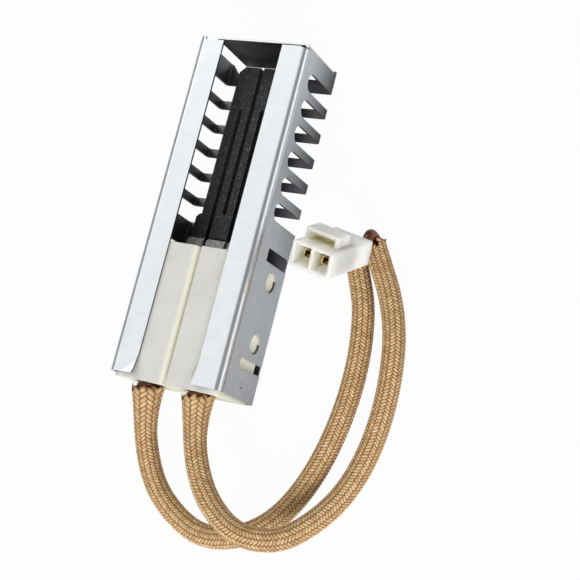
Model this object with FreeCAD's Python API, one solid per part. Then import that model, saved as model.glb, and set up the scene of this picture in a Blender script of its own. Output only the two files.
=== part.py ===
import FreeCAD, Part
import math
import os

# Hot surface igniter for a gas oven burner, in millimetres.
# The igniter lies on the flat back of its cage: +X is across it, +Y runs toward
# the free end of the heating element, and +Z points up out of the open window.
# The origin is at the middle of the base, under the cage and its block.
# Lengths along the cage are measured from its lead end, where the wires leave.

# Cage, folded from one sheet
CAGE_LENGTH = 97.0
CAGE_WIDTH = 34.6
CAGE_DEPTH = 20.8
SHEET = 0.7
WINDOW_WIDTH = 18.4
FRONT_BEND_INNER = 1.5
BACK_BEND_INNER = 0.4
SHEET_GAP = 0.3

# Slots that run round the sides and the back, and the ribs between them
SLOT_COUNT = 6
RIB_WIDTH = 2.5
LOWER_WALL = 48.3
TOP_BAND = 6.45
SLOT_FRONT_MARGIN = 4.5

# Top plate, folded in from the right wall, and the clipped top of the back
TOP_PLATE_REACH = 28.6
TOP_PLATE_BEND_INNER = 0.6
TOP_PLATE_BACK_GAP = 1.7
BACK_TOP_DROP = 2.6
BACK_TOP_CHAMFER = 2.2

# Pressed side panels that grip the block, their end slots and holes
PANEL_START = 10.7
PANEL_OVERHANG = 0.2
PANEL_FRONT_MARGIN = 7.0
PANEL_OFFSET = 0.5
PANEL_STEP = 0.6
PANEL_SLOT_WIDTH = 3.4
PANEL_SLOT_TAPER = 0.9
PANEL_HOLE_RADIUS = 2.7
PANEL_HOLE_INSET = 4.75
PANEL_HOLE_MARGIN = 13.6
NOTCH_LENGTH = 4.5
NOTCH_DEPTH = 1.8

# Flared inner corners of the rails at the lead end
FLARE_LENGTH = 5.4
FLARE_LIFT = 1.3

# Punched locating mark near the lead end of each side
MARK_RADIUS = 1.1
MARK_DEPTH = 0.35
MARK_START = 3.9
MARK_MARGIN = 11.0

# Insulator block
BLOCK_PROUD = 1.2
BLOCK_LENGTH = 38.5
BLOCK_BACK_GAP = 1.2
BLOCK_END_DRAFT = 0.8
BLOCK_FRONT_ROUND = 2.6
BLOCK_BACK_EDGE = 0.6
GROOVE_WIDTH = 1.2
GROOVE_DEPTH = 2.4
GROOVE_SHOULDER = 1.7
GROOVE_OFFSET = 0.1

# Chamber in the block for the feet and their terminals, filled with cement
CHAMBER_DEPTH = 22.6
CHAMBER_SIDE_CLEARANCE = 1.0
CHAMBER_BACK = 9.0
CHAMBER_HEIGHT = 8.0
CEMENT_PROUD = 4.0
CEMENT_WALL = 0.8
CEMENT_SLOPE = 0.9

# Heating element, one flat serpentine
ELEMENT_THICKNESS = 2.2
ELEMENT_PLANE = 10.8
ELEMENT_WIDTH = 13.8
ELEMENT_TIP_GAP = 4.8
ELEMENT_CHAMFER = 1.7
FOOT_WIDTH = 16.8
FOOT_HEIGHT = 11.0
FOOT_SHOULDER = 1.0
FOOT_BURIED = 10.6
CUT_WIDTH = 1.1
OUTER_CUT_SPACING = 6.8
OUTER_CUT_TOP = 12.4
CENTRE_CUT_END = 11.4
TONGUE_CLEARANCE = 4.4

# Terminals on the feet
TERMINAL_WIDTH = 3.8
TERMINAL_THICKNESS = 1.9
TERMINAL_LENGTH = 7.0
TERMINAL_OVERLAP = 4.0
BARREL_RADIUS = 1.4
BARREL_BORE = 1.0
BARREL_LENGTH = 5.0

# Wires and sleeved leads
LEAD_INSET = 0.6
LEAD_HEIGHT = 14.8
LEAD_DIAMETER = 6.2
LEAD_STRAIGHT = 7.5
EXIT_GAP = 1.9
EXIT_RADIUS = 2.5
BORE_CLEARANCE = 0.3
CONDUCTOR_RADIUS = 0.9
PLUG_WIRE_RADIUS = 1.4
PLUG_WIRE_LEAD_IN = 5.0

# Plug housing, measured from the middle of its rear face
PLUG_WIDTH = 12.0
PLUG_HEIGHT = 6.8
PLUG_LENGTH = 19.5
PLUG_EDGE = 0.35
SOCKET_WIDTH = 4.7
SOCKET_HEIGHT = 5.3
SOCKET_DEPTH = 12.0
SOCKET_PITCH = 5.5
LATCH_WIDTH = 9.6
LATCH_HEIGHT = 3.0
LATCH_LENGTH = 6.0
LATCH_SETBACK = 4.0
LATCH_SHIFT = -0.4
LATCH_WALL = 0.9
LATCH_RECESS_DEPTH = 3.6
RAMP_HEIGHT = 1.0
RAMP_WIDTH = 8.4
RECEPTACLE_WIDTH = 2.6
RECEPTACLE_HEIGHT = 2.2
RECEPTACLE_WALL = 0.3
RECEPTACLE_LENGTH = 9.0
PLUG_REAR = (39.9, -3.1, 12.6)
PLUG_TURN = -12.7
PLUG_TILT = 28.8

# Routes of the leads from their straight exits to the plug, chosen by hand
LEFT_ROUTE = [
    (-6.0, -67.0, 11.0), (-1.0, -75.2, 6.2), (7.0, -81.6, 3.5), (17.0, -85.0, 3.1),
    (27.4, -83.0, 3.1), (36.0, -75.6, 3.1), (41.8, -63.5, 3.1), (45.2, -49.0, 3.1),
    (46.0, -34.0, 3.1), (44.2, -19.5, 3.1), (40.9, -11.0, 3.2), (38.5, -5.2, 3.5),
]
RIGHT_ROUTE = [
    (12.2, -67.6, 15.2), (20.8, -75.4, 16.0), (31.4, -81.2, 16.0), (39.8, -82.4, 14.2),
    (47.2, -79.7, 11.4), (52.2, -73.9, 8.6), (55.2, -65.4, 5.8), (57.0, -54.0, 3.6),
    (57.2, -41.5, 3.1), (55.9, -28.8, 3.1), (52.6, -17.4, 3.1), (48.4, -8.6, 3.4),
    (45.0, -2.4, 3.9),
]
# Corners of the bare wires between each lead's end and the plug
LEFT_FOLD = []
RIGHT_FOLD = [(42.4, 2.2, 9.0)]
LEFT_PLUG_RUN = 3.7
RIGHT_PLUG_RUN = 3.0

# Worked out from the values above
LEAD_END_Y = -(CAGE_LENGTH - BLOCK_PROUD) / 2
HALF_WIDTH = CAGE_WIDTH / 2
FRONT_BEND_OUTER = FRONT_BEND_INNER + SHEET
BACK_BEND_OUTER = BACK_BEND_INNER + SHEET
SLOT_SPAN = CAGE_LENGTH - TOP_BAND - LOWER_WALL
SLOT_PITCH = (SLOT_SPAN + RIB_WIDTH) / SLOT_COUNT
SLOT_WIDTH = SLOT_PITCH - RIB_WIDTH
BLOCK_FRONT = CAGE_DEPTH - SHEET
BLOCK_BACK = SHEET + BLOCK_BACK_GAP
BLOCK_WIDTH = CAGE_WIDTH - 2 * (SHEET + PANEL_OFFSET)
BLOCK_TOP = BLOCK_LENGTH - BLOCK_PROUD
PANEL_END = BLOCK_TOP + PANEL_OVERHANG
CHAMBER_FLOOR = BLOCK_TOP - CHAMBER_DEPTH
CHAMBER_WIDTH = FOOT_WIDTH + 2 * CHAMBER_SIDE_CLEARANCE
LEAD_SPACING = FOOT_WIDTH - 2 * LEAD_INSET
ELEMENT_TIP = CAGE_LENGTH - ELEMENT_TIP_GAP
ELEMENT_BACK = ELEMENT_PLANE - ELEMENT_THICKNESS / 2
ELEMENT_FRONT = ELEMENT_PLANE + ELEMENT_THICKNESS / 2
FOOT_END = BLOCK_TOP - FOOT_BURIED
LEAD_START = -BLOCK_PROUD - EXIT_GAP


def along(distance):
    """Y of a place measured from the cage's lead end."""
    return LEAD_END_Y + distance


def box(x0, x1, y0, y1, z0, z1):
    """Box between two corners, with y measured from the lead end."""
    corner = FreeCAD.Vector(x0, along(y0), z0)
    return Part.makeBox(x1 - x0, y1 - y0, z1 - z0, corner)


def cylinder_y(radius, x, z, y0, y1):
    """Cylinder along Y, with y measured from the lead end."""
    start = FreeCAD.Vector(x, along(y0), z)
    return Part.makeCylinder(radius, y1 - y0, start, FreeCAD.Vector(0, 1, 0))


def mirrored(shape):
    """The same shape on the other side of the middle plane."""
    return shape.mirror(FreeCAD.Vector(0, 0, 0), FreeCAD.Vector(1, 0, 0))


def both_sides(shape):
    """The shape and its mirror image."""
    return [shape, mirrored(shape)]


def channel_wire(inset):
    """Closed outline of the cage's section, drawn inward from its outer face."""
    left = -HALF_WIDTH + inset
    right = HALF_WIDTH - inset
    bottom = inset
    top = CAGE_DEPTH - inset
    front_radius = FRONT_BEND_OUTER - inset
    back_radius = BACK_BEND_OUTER - inset
    diagonal = 1 - math.sqrt(0.5)

    def at(x, z):
        return FreeCAD.Vector(x, along(0), z)

    def corner(x, z, radius, way_x, way_z):
        """Quarter arc at a corner, from the upright side to the flat side."""
        start = at(x, z + way_z * radius)
        middle = at(x + way_x * radius * diagonal, z + way_z * radius * diagonal)
        end = at(x + way_x * radius, z)
        return start, Part.Arc(start, middle, end).toShape(), end

    bl = corner(left, bottom, back_radius, 1, 1)
    br = corner(right, bottom, back_radius, -1, 1)
    tr = corner(right, top, front_radius, -1, -1)
    tl = corner(left, top, front_radius, 1, -1)
    edges = [
        bl[1], Part.makeLine(bl[2], br[2]), br[1], Part.makeLine(br[0], tr[0]),
        tr[1], Part.makeLine(tr[2], tl[2]), tl[1], Part.makeLine(tl[0], bl[0]),
    ]
    return Part.Wire(Part.__sortEdges__(edges))


def cage_slots():
    """Slots that leave the ribs, each with a full round end below the front bend."""
    cutters = []
    front = CAGE_DEPTH - SLOT_FRONT_MARGIN
    round_radius = SLOT_WIDTH / 2
    reach = HALF_WIDTH + SHEET
    for index in range(SLOT_COUNT):
        upper = CAGE_LENGTH - TOP_BAND - index * SLOT_PITCH
        lower = upper - SLOT_WIDTH
        body = box(-reach, reach, lower, upper, -SHEET, front - round_radius)
        centre = FreeCAD.Vector(-reach, along(lower + round_radius), front - round_radius)
        end = Part.makeCylinder(round_radius, 2 * reach, centre, FreeCAD.Vector(1, 0, 0))
        cutters.append(body.fuse(end))
    return cutters


def panel_cuts():
    """Room for the pressed panel in the right wall, and its end slots."""
    outer = HALF_WIDTH + SHEET
    inner = HALF_WIDTH - BACK_BEND_OUTER - SHEET
    pressed = HALF_WIDTH - PANEL_OFFSET
    front = CAGE_DEPTH - PANEL_FRONT_MARGIN
    low = PANEL_START - PANEL_SLOT_WIDTH
    high = PANEL_END + PANEL_SLOT_WIDTH
    points = [
        (low, front), (high, front), (high, SHEET), (low + PANEL_SLOT_TAPER, SHEET),
    ]
    corners = [FreeCAD.Vector(inner, along(y), z) for y, z in points]
    outline = Part.Face(Part.makePolygon(corners + corners[:1]))
    opening = outline.extrude(FreeCAD.Vector(outer - inner, 0, 0))
    corner = box(pressed, outer, low + PANEL_SLOT_TAPER, high, -SHEET, 2 * SHEET)
    return [opening, corner]


def wall_notch():
    """Notch in the back edge of the right wall, above the panel's upper slot."""
    start = PANEL_END + PANEL_SLOT_WIDTH
    return box(HALF_WIDTH - PANEL_OFFSET, HALF_WIDTH + SHEET,
               start, start + NOTCH_LENGTH, -SHEET, NOTCH_DEPTH)


def panel_plate():
    """Pressed panel of the right wall: stepped in, down to the back, with two holes."""
    face = HALF_WIDTH - SHEET
    front = CAGE_DEPTH - PANEL_FRONT_MARGIN
    profile = [
        (face + SHEET, front), (face + SHEET, front - SHEET_GAP),
        (face + SHEET - PANEL_OFFSET, front - SHEET_GAP - PANEL_STEP),
        (face + SHEET - PANEL_OFFSET, 0), (face - PANEL_OFFSET, 0),
        (face - PANEL_OFFSET, front - SHEET_GAP - PANEL_STEP),
        (face, front - SHEET_GAP), (face, front),
    ]
    points = [FreeCAD.Vector(x, along(PANEL_START), z) for x, z in profile]
    outline = Part.Face(Part.makePolygon(points + points[:1]))
    plate = outline.extrude(FreeCAD.Vector(0, PANEL_END - PANEL_START, 0))
    for place in (PANEL_START + PANEL_HOLE_INSET, PANEL_END - PANEL_HOLE_INSET):
        centre = FreeCAD.Vector(0, along(place), CAGE_DEPTH - PANEL_HOLE_MARGIN)
        hole = Part.makeCylinder(PANEL_HOLE_RADIUS, CAGE_WIDTH, centre, FreeCAD.Vector(1, 0, 0))
        plate = plate.cut(hole)
    return plate


def flare():
    """Lifted triangular corner of the right rail, on its diagonal bend line."""
    inner = WINDOW_WIDTH / 2
    outer = HALF_WIDTH - FRONT_BEND_OUTER

    def triangle(height):
        bend_start = FreeCAD.Vector(inner, along(FLARE_LENGTH), height)
        bend_end = FreeCAD.Vector(outer, along(0), height)
        lifted = FreeCAD.Vector(inner, along(0), height + FLARE_LIFT)
        return Part.makePolygon([bend_start, bend_end, lifted, bend_start])

    return Part.makeLoft([triangle(CAGE_DEPTH - SHEET), triangle(CAGE_DEPTH)], True, True)


def flare_cut():
    """Flat corner of the right rail that the flare takes the place of."""
    inner = WINDOW_WIDTH / 2
    outer = HALF_WIDTH - FRONT_BEND_OUTER
    height = CAGE_DEPTH - 2 * SHEET
    points = [
        FreeCAD.Vector(inner, along(FLARE_LENGTH), height),
        FreeCAD.Vector(outer, along(0), height),
        FreeCAD.Vector(outer, along(-1), height),
        FreeCAD.Vector(inner - 1, along(-1), height),
        FreeCAD.Vector(inner - 1, along(FLARE_LENGTH), height),
    ]
    outline = Part.Face(Part.makePolygon(points + points[:1]))
    return outline.extrude(FreeCAD.Vector(0, 0, 4 * SHEET))


def top_plate():
    """Plate that closes the tip end, folded in from the right wall."""
    outer_radius = TOP_PLATE_BEND_INNER + SHEET
    right = HALF_WIDTH
    end = CAGE_LENGTH
    low = TOP_PLATE_BACK_GAP
    high = CAGE_DEPTH
    diagonal = 1 - math.sqrt(0.5)

    def at(x, y):
        return FreeCAD.Vector(x, along(y), low)

    centre_x = right - outer_radius
    centre_y = end - outer_radius
    outer_mid = at(right - outer_radius * diagonal, end - outer_radius * diagonal)
    inner_radius = TOP_PLATE_BEND_INNER
    inner_mid = at(
        right - SHEET - inner_radius * diagonal, end - SHEET - inner_radius * diagonal
    )
    free_end = right - TOP_PLATE_REACH
    edges = [
        Part.makeLine(at(free_end, end), at(centre_x, end)),
        Part.Arc(at(centre_x, end), outer_mid, at(right, centre_y)).toShape(),
        Part.makeLine(at(right, centre_y), at(right - SHEET, centre_y)),
        Part.Arc(at(right - SHEET, centre_y), inner_mid, at(centre_x, end - SHEET)).toShape(),
        Part.makeLine(at(centre_x, end - SHEET), at(free_end, end - SHEET)),
        Part.makeLine(at(free_end, end - SHEET), at(free_end, end)),
    ]
    outline = Part.Face(Part.Wire(Part.__sortEdges__(edges)))
    return outline.extrude(FreeCAD.Vector(0, 0, high - low))


def cage():
    """Heat shield: ribbed channel, rails, end plate and panels in one sheet."""
    outer = Part.Face(channel_wire(0)).extrude(FreeCAD.Vector(0, CAGE_LENGTH, 0))
    inner = Part.Face(channel_wire(SHEET)).extrude(FreeCAD.Vector(0, CAGE_LENGTH, 0))
    shell = outer.cut(inner)
    half_window = WINDOW_WIDTH / 2
    window = box(
        -half_window, half_window, -1, CAGE_LENGTH + 1, CAGE_DEPTH - 2 * SHEET, CAGE_DEPTH + 1
    )
    cutters = [window] + cage_slots()
    for cut in panel_cuts():
        cutters += both_sides(cut)
    cutters += both_sides(flare_cut()) + [wall_notch()]
    shell = shell.cut(cutters)
    # The walls stop short of the end plate, and the right wall turns into it.
    plate_edge = CAGE_LENGTH - TOP_PLATE_BEND_INNER - SHEET
    rail_end = CAGE_LENGTH - SHEET - SHEET_GAP
    front_zone = CAGE_DEPTH - FRONT_BEND_OUTER
    reach = HALF_WIDTH + 1
    shell = shell.cut([
        box(HALF_WIDTH - FRONT_BEND_OUTER, reach, plate_edge, CAGE_LENGTH + 1,
            TOP_PLATE_BACK_GAP, CAGE_DEPTH + 1),
        box(-HALF_WIDTH + FRONT_BEND_OUTER, HALF_WIDTH, rail_end, CAGE_LENGTH + 1,
            front_zone, CAGE_DEPTH + 1),
        back_top_cut(),
    ])
    shell = shell.fuse([top_plate()] + both_sides(flare()) + both_sides(panel_plate()))
    return shell.cut(both_sides(locating_mark())).removeSplitter()


def back_top_cut():
    """Clipped top of the back, below the end plate, with sloped corners."""
    side = HALF_WIDTH - BACK_BEND_OUTER
    low = CAGE_LENGTH - BACK_TOP_DROP
    points = [
        (-side, CAGE_LENGTH), (-side + BACK_TOP_CHAMFER, low),
        (side - BACK_TOP_CHAMFER, low), (side, CAGE_LENGTH),
        (side, CAGE_LENGTH + 1), (-side, CAGE_LENGTH + 1),
    ]
    corners = [FreeCAD.Vector(x, along(y), -SHEET) for x, y in points]
    outline = Part.Face(Part.makePolygon(corners + corners[:1]))
    return outline.extrude(FreeCAD.Vector(0, 0, 2 * SHEET + BACK_BEND_INNER))


def locating_mark():
    """Shallow round punch mark in the right wall near the lead end."""
    sphere_radius = (MARK_RADIUS ** 2 + MARK_DEPTH ** 2) / (2 * MARK_DEPTH)
    centre = FreeCAD.Vector(
        HALF_WIDTH - MARK_DEPTH + sphere_radius, along(MARK_START), CAGE_DEPTH - MARK_MARGIN
    )
    return Part.makeSphere(sphere_radius, centre)


def groove():
    """Groove down the block's front face, its left edge rounded over."""
    left = GROOVE_OFFSET - GROOVE_WIDTH / 2
    right = GROOVE_OFFSET + GROOVE_WIDTH / 2
    top = BLOCK_FRONT
    radius = GROOVE_SHOULDER
    diagonal = math.sqrt(0.5)
    y = along(-BLOCK_PROUD - 1)

    def at(x, z):
        return FreeCAD.Vector(x, y, z)

    arc_centre_x = left - radius
    arc_centre_z = top - radius
    shoulder_mid = at(arc_centre_x + radius * diagonal, arc_centre_z + radius * diagonal)
    edges = [
        Part.Arc(at(arc_centre_x, top), shoulder_mid, at(left, arc_centre_z)).toShape(),
        Part.makeLine(at(left, arc_centre_z), at(left, top - GROOVE_DEPTH)),
        Part.makeLine(at(left, top - GROOVE_DEPTH), at(right, top - GROOVE_DEPTH)),
        Part.makeLine(at(right, top - GROOVE_DEPTH), at(right, top + 1)),
        Part.makeLine(at(right, top + 1), at(arc_centre_x, top + 1)),
        Part.makeLine(at(arc_centre_x, top + 1), at(arc_centre_x, top)),
    ]
    outline = Part.Face(Part.Wire(Part.__sortEdges__(edges)))
    return outline.extrude(FreeCAD.Vector(0, BLOCK_LENGTH + 2, 0))


def chamber():
    """Chamber that opens at the block's top end."""
    half = CHAMBER_WIDTH / 2
    return box(
        -half, half, CHAMBER_FLOOR, BLOCK_TOP, CHAMBER_BACK, CHAMBER_BACK + CHAMBER_HEIGHT
    )


def long_edges(body, height):
    """The body's two edges along Y at a height."""
    return [
        edge for edge in body.Edges
        if abs(edge.Vertexes[0].Point.y - edge.Vertexes[-1].Point.y) > BLOCK_LENGTH / 2
        and abs(edge.BoundBox.ZMin - height) + abs(edge.BoundBox.ZMax - height) < SHEET / 10
    ]


def insulator_block():
    """Ceramic block with its groove, chamber and two wire bores."""
    half = BLOCK_WIDTH / 2
    profile = [
        (-BLOCK_PROUD, BLOCK_FRONT), (BLOCK_TOP, BLOCK_FRONT), (BLOCK_TOP, BLOCK_BACK),
        (-BLOCK_PROUD + BLOCK_END_DRAFT, BLOCK_BACK),
    ]
    corners = [FreeCAD.Vector(-half, along(y), z) for y, z in profile]
    outline = Part.Face(Part.makePolygon(corners + corners[:1]))
    body = outline.extrude(FreeCAD.Vector(2 * half, 0, 0))
    body = body.makeFillet(BLOCK_FRONT_ROUND, long_edges(body, BLOCK_FRONT))
    body = body.makeChamfer(BLOCK_BACK_EDGE, long_edges(body, BLOCK_BACK))
    bores = [
        cylinder_y(EXIT_RADIUS + BORE_CLEARANCE, side * LEAD_SPACING / 2, LEAD_HEIGHT,
                   -BLOCK_PROUD - 1, CHAMBER_FLOOR)
        for side in (-1, 1)
    ]
    return body.cut([groove(), chamber()] + bores)


def element_outline():
    """Outer outline of the element, from its feet to its chamfered tip."""
    half = ELEMENT_WIDTH / 2
    foot = FOOT_WIDTH / 2
    shoulder = BLOCK_TOP + FOOT_HEIGHT
    points = [
        (foot, FOOT_END), (foot, shoulder - FOOT_SHOULDER), (foot - FOOT_SHOULDER, shoulder),
        (half, shoulder), (half, ELEMENT_TIP - ELEMENT_CHAMFER),
        (half - ELEMENT_CHAMFER, ELEMENT_TIP),
    ]
    ring = points + [(-x, y) for x, y in reversed(points)]
    corners = [FreeCAD.Vector(x, along(y), ELEMENT_BACK) for x, y in ring]
    return Part.Face(Part.makePolygon(corners + corners[:1]))


def cut_slot(x, y0, y1, round_start, round_end):
    """Narrow cut through the element, rounded at the ends that stop inside it."""
    radius = CUT_WIDTH / 2
    low = y0 + radius if round_start else y0
    high = y1 - radius if round_end else y1
    slot = box(x - radius, x + radius, low, high, ELEMENT_BACK - 1, ELEMENT_FRONT + 1)
    for centre_y, rounded in ((low, round_start), (high, round_end)):
        if rounded:
            base = FreeCAD.Vector(x, along(centre_y), ELEMENT_BACK - 1)
            slot = slot.fuse(Part.makeCylinder(radius, ELEMENT_THICKNESS + 2, base))
    return slot


def heating_element():
    """Flat serpentine: two outer legs joined over the cuts to a middle tongue."""
    plate = element_outline().extrude(FreeCAD.Vector(0, 0, ELEMENT_THICKNESS))
    tongue_half = OUTER_CUT_SPACING / 2
    tongue_end = BLOCK_TOP + TONGUE_CLEARANCE
    below_tongue = box(
        -tongue_half, tongue_half, FOOT_END - 1, tongue_end, ELEMENT_BACK - 1, ELEMENT_FRONT + 1
    )
    cuts = [cut_slot(0, BLOCK_TOP + CENTRE_CUT_END, ELEMENT_TIP + 1, True, False), below_tongue]
    for side in (-1, 1):
        cuts.append(cut_slot(side * OUTER_CUT_SPACING / 2, FOOT_END - 1,
                             ELEMENT_TIP - OUTER_CUT_TOP, False, True))
    return plate.cut(cuts)


def foot_terminal(side):
    """Strap on the front of one foot, with a barrel for the wire."""
    x = side * LEAD_SPACING / 2
    foot_edge = side * FOOT_WIDTH / 2
    x0, x1 = sorted((foot_edge, foot_edge - side * TERMINAL_WIDTH))
    start = FOOT_END + TERMINAL_OVERLAP - TERMINAL_LENGTH
    strap = box(x0, x1, start, FOOT_END + TERMINAL_OVERLAP,
                ELEMENT_FRONT, ELEMENT_FRONT + TERMINAL_THICKNESS)
    barrel = cylinder_y(BARREL_RADIUS, x, LEAD_HEIGHT, start, start + BARREL_LENGTH)
    bore = cylinder_y(BARREL_BORE, x, LEAD_HEIGHT, start - 1, start + BARREL_LENGTH + 1)
    return strap.fuse(barrel).cut(bore).removeSplitter()


def exit_wire(side):
    """Varnished wire through the block, from its terminal to the lead's end."""
    x = side * LEAD_SPACING / 2
    barrel_start = FOOT_END + TERMINAL_OVERLAP - TERMINAL_LENGTH
    covered = cylinder_y(EXIT_RADIUS, x, LEAD_HEIGHT, LEAD_START, CHAMBER_FLOOR)
    conductor = cylinder_y(
        CONDUCTOR_RADIUS, x, LEAD_HEIGHT, CHAMBER_FLOOR, barrel_start + BARREL_LENGTH
    )
    return covered.fuse(conductor)


def cement_collar():
    """Cement that stands proud of the block round the feet and the tongue."""
    half = FOOT_WIDTH / 2 + CEMENT_WALL / 2
    back = ELEMENT_BACK - CEMENT_WALL
    front = ELEMENT_FRONT + CEMENT_WALL
    top = BLOCK_TOP + CEMENT_PROUD
    profile = [
        (back, BLOCK_TOP), (front, BLOCK_TOP), (front, top - CEMENT_SLOPE),
        (ELEMENT_FRONT, top), (ELEMENT_BACK, top), (back, top - CEMENT_SLOPE),
    ]
    points = [FreeCAD.Vector(-half, along(y), z) for z, y in profile]
    outline = Part.Face(Part.makePolygon(points + points[:1]))
    return outline.extrude(FreeCAD.Vector(2 * half, 0, 0))


def element_cement(element, terminals, wires):
    """Cement that fills the chamber round the feet, terminals and wires."""
    fill = chamber().fuse(cement_collar())
    gaps = [
        box(side * OUTER_CUT_SPACING / 2 - CUT_WIDTH / 2, side * OUTER_CUT_SPACING / 2
            + CUT_WIDTH / 2, BLOCK_TOP, BLOCK_TOP + CEMENT_PROUD + 1,
            ELEMENT_BACK - 2 * CEMENT_WALL, ELEMENT_FRONT + 2 * CEMENT_WALL)
        for side in (-1, 1)
    ]
    inside_barrels = [
        cylinder_y(BARREL_BORE, side * LEAD_SPACING / 2, LEAD_HEIGHT,
                   FOOT_END + TERMINAL_OVERLAP - TERMINAL_LENGTH,
                   FOOT_END + TERMINAL_OVERLAP - TERMINAL_LENGTH + BARREL_LENGTH)
        for side in (-1, 1)
    ]
    return fill.cut(gaps + inside_barrels + [element] + terminals + wires).removeSplitter()


def unit(vector):
    """The vector at length one."""
    return FreeCAD.Vector(vector).multiply(1 / vector.Length)


def lead_route(side, route):
    """Route of a lead: straight out of the block, then by the chosen points."""
    x = side * LEAD_SPACING / 2
    start = (x, along(LEAD_START), LEAD_HEIGHT)
    straight_end = (x, along(LEAD_START - LEAD_STRAIGHT), LEAD_HEIGHT)
    return [start, straight_end] + route


def route_wire(points):
    """Straight runs joined by tangent arcs, and the radius of each arc."""
    vectors = [FreeCAD.Vector(*point) for point in points]
    edges = []
    radii = []
    start = vectors[0]
    for before, corner, after in zip(vectors, vectors[1:], vectors[2:]):
        back = unit(before - corner)
        ahead = unit(after - corner)
        half_turn = (math.pi - back.getAngle(ahead)) / 2
        setback = 0.45 * min((before - corner).Length, (after - corner).Length)
        radius = setback / math.tan(half_turn)
        arc_start = corner + back * setback
        arc_end = corner + ahead * setback
        inward = unit(back + ahead)
        arc_middle = corner + inward * (radius / math.cos(half_turn) - radius)
        edges.append(Part.LineSegment(start, arc_start).toShape())
        edges.append(Part.Arc(arc_start, arc_middle, arc_end).toShape())
        radii.append(radius)
        start = arc_end
    edges.append(Part.LineSegment(start, vectors[-1]).toShape())
    return Part.Wire(edges), radii


def tube_along(name, points, radius):
    """Plain round tube along a route, with its radii and volume printed."""
    path, radii = route_wire(points)
    direction = FreeCAD.Vector(*points[1]) - FreeCAD.Vector(*points[0])
    ring = Part.Wire(Part.makeCircle(radius, FreeCAD.Vector(*points[0]), direction))
    tube = path.makePipeShell([ring], True, False)
    expected = math.pi * radius ** 2 * path.Length
    print(name, "radii", [round(value, 1) for value in radii])
    print(name, "length", round(path.Length, 1), "volume over section times length",
          round(tube.Volume / expected, 4))
    return tube


def plug_placement():
    """Place of the plug: rear face at its point, mouth turned and tipped up."""
    turn = FreeCAD.Rotation(FreeCAD.Vector(0, 0, 1), PLUG_TURN)
    tilt = FreeCAD.Rotation(FreeCAD.Vector(1, 0, 0), PLUG_TILT)
    return FreeCAD.Placement(FreeCAD.Vector(*PLUG_REAR), turn.multiply(tilt))


def plug_box(x0, x1, y0, y1, z0, z1):
    """Box in the plug's own frame: x across, y up, z toward the mouth."""
    return Part.makeBox(x1 - x0, y1 - y0, z1 - z0, FreeCAD.Vector(x0, y0, z0))


def plug_housing():
    """Two-way housing with a latch box on top and a ramp behind it."""
    half = PLUG_WIDTH / 2
    top = PLUG_HEIGHT / 2
    body = plug_box(-half, half, -top, top, 0, PLUG_LENGTH)
    upright = [
        edge for edge in body.Edges
        if abs(edge.Vertexes[0].Point.z - edge.Vertexes[1].Point.z) > PLUG_LENGTH / 2
    ]
    body = body.makeChamfer(PLUG_EDGE, upright)
    latch_front = PLUG_LENGTH - LATCH_SETBACK
    latch_back = latch_front - LATCH_LENGTH
    latch_left = LATCH_SHIFT - LATCH_WIDTH / 2
    latch_right = LATCH_SHIFT + LATCH_WIDTH / 2
    latch = plug_box(
        latch_left, latch_right, top - PLUG_EDGE, top + LATCH_HEIGHT, latch_back, latch_front
    )
    recess = plug_box(
        latch_left + LATCH_WALL, latch_right - LATCH_WALL, top, top + LATCH_HEIGHT - LATCH_WALL,
        latch_front - LATCH_RECESS_DEPTH, latch_front + 1
    )
    ramp_side = [
        (top - PLUG_EDGE, 0), (top - PLUG_EDGE, latch_back),
        (top + RAMP_HEIGHT, latch_back), (top, 0),
    ]
    ramp_left = LATCH_SHIFT - RAMP_WIDTH / 2
    points = [FreeCAD.Vector(ramp_left, y, z) for y, z in ramp_side]
    ramp = Part.Face(Part.makePolygon(points + points[:1])).extrude(
        FreeCAD.Vector(RAMP_WIDTH, 0, 0)
    )
    sockets = [
        plug_box(centre - SOCKET_WIDTH / 2, centre + SOCKET_WIDTH / 2,
                 -SOCKET_HEIGHT / 2, SOCKET_HEIGHT / 2,
                 PLUG_LENGTH - SOCKET_DEPTH, PLUG_LENGTH + 1)
        for centre in (-SOCKET_PITCH / 2, SOCKET_PITCH / 2)
    ]
    housing = body.fuse([latch, ramp]).cut([recess] + sockets).removeSplitter()
    housing.Placement = plug_placement()
    return housing


def plug_terminal(side):
    """Folded brass receptacle that stands on the floor of its socket."""
    centre = side * SOCKET_PITCH / 2
    half_width = RECEPTACLE_WIDTH / 2
    half_height = RECEPTACLE_HEIGHT / 2
    floor = PLUG_LENGTH - SOCKET_DEPTH
    outer = plug_box(centre - half_width, centre + half_width, -half_height, half_height,
                     floor, floor + RECEPTACLE_LENGTH)
    hollow = plug_box(centre - half_width + RECEPTACLE_WALL, centre + half_width - RECEPTACLE_WALL,
                      -half_height + RECEPTACLE_WALL, half_height - RECEPTACLE_WALL,
                      floor + RECEPTACLE_WALL, floor + RECEPTACLE_LENGTH + 1)
    seam = plug_box(centre - RECEPTACLE_WALL / 2, centre + RECEPTACLE_WALL / 2,
                    0, half_height + 1, floor + RECEPTACLE_WALL, floor + RECEPTACLE_LENGTH + 1)
    receptacle = outer.cut([hollow, seam])
    receptacle.Placement = plug_placement()
    return receptacle


def plug_wire_points(route, side, fold, plug_run):
    """Route of a bare wire: on from its lead, folded back and into the plug."""
    place = plug_placement()
    entry = place.multVec(FreeCAD.Vector(side * SOCKET_PITCH / 2, 0, 0))
    approach = place.multVec(FreeCAD.Vector(side * SOCKET_PITCH / 2, 0, -plug_run))
    end = FreeCAD.Vector(*route[-1])
    way = unit(end - FreeCAD.Vector(*route[-2]))
    first = end + way * PLUG_WIRE_LEAD_IN
    corners = [end, first] + [FreeCAD.Vector(*point) for point in fold] + [approach, entry]
    return [tuple(corner) for corner in corners]


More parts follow.
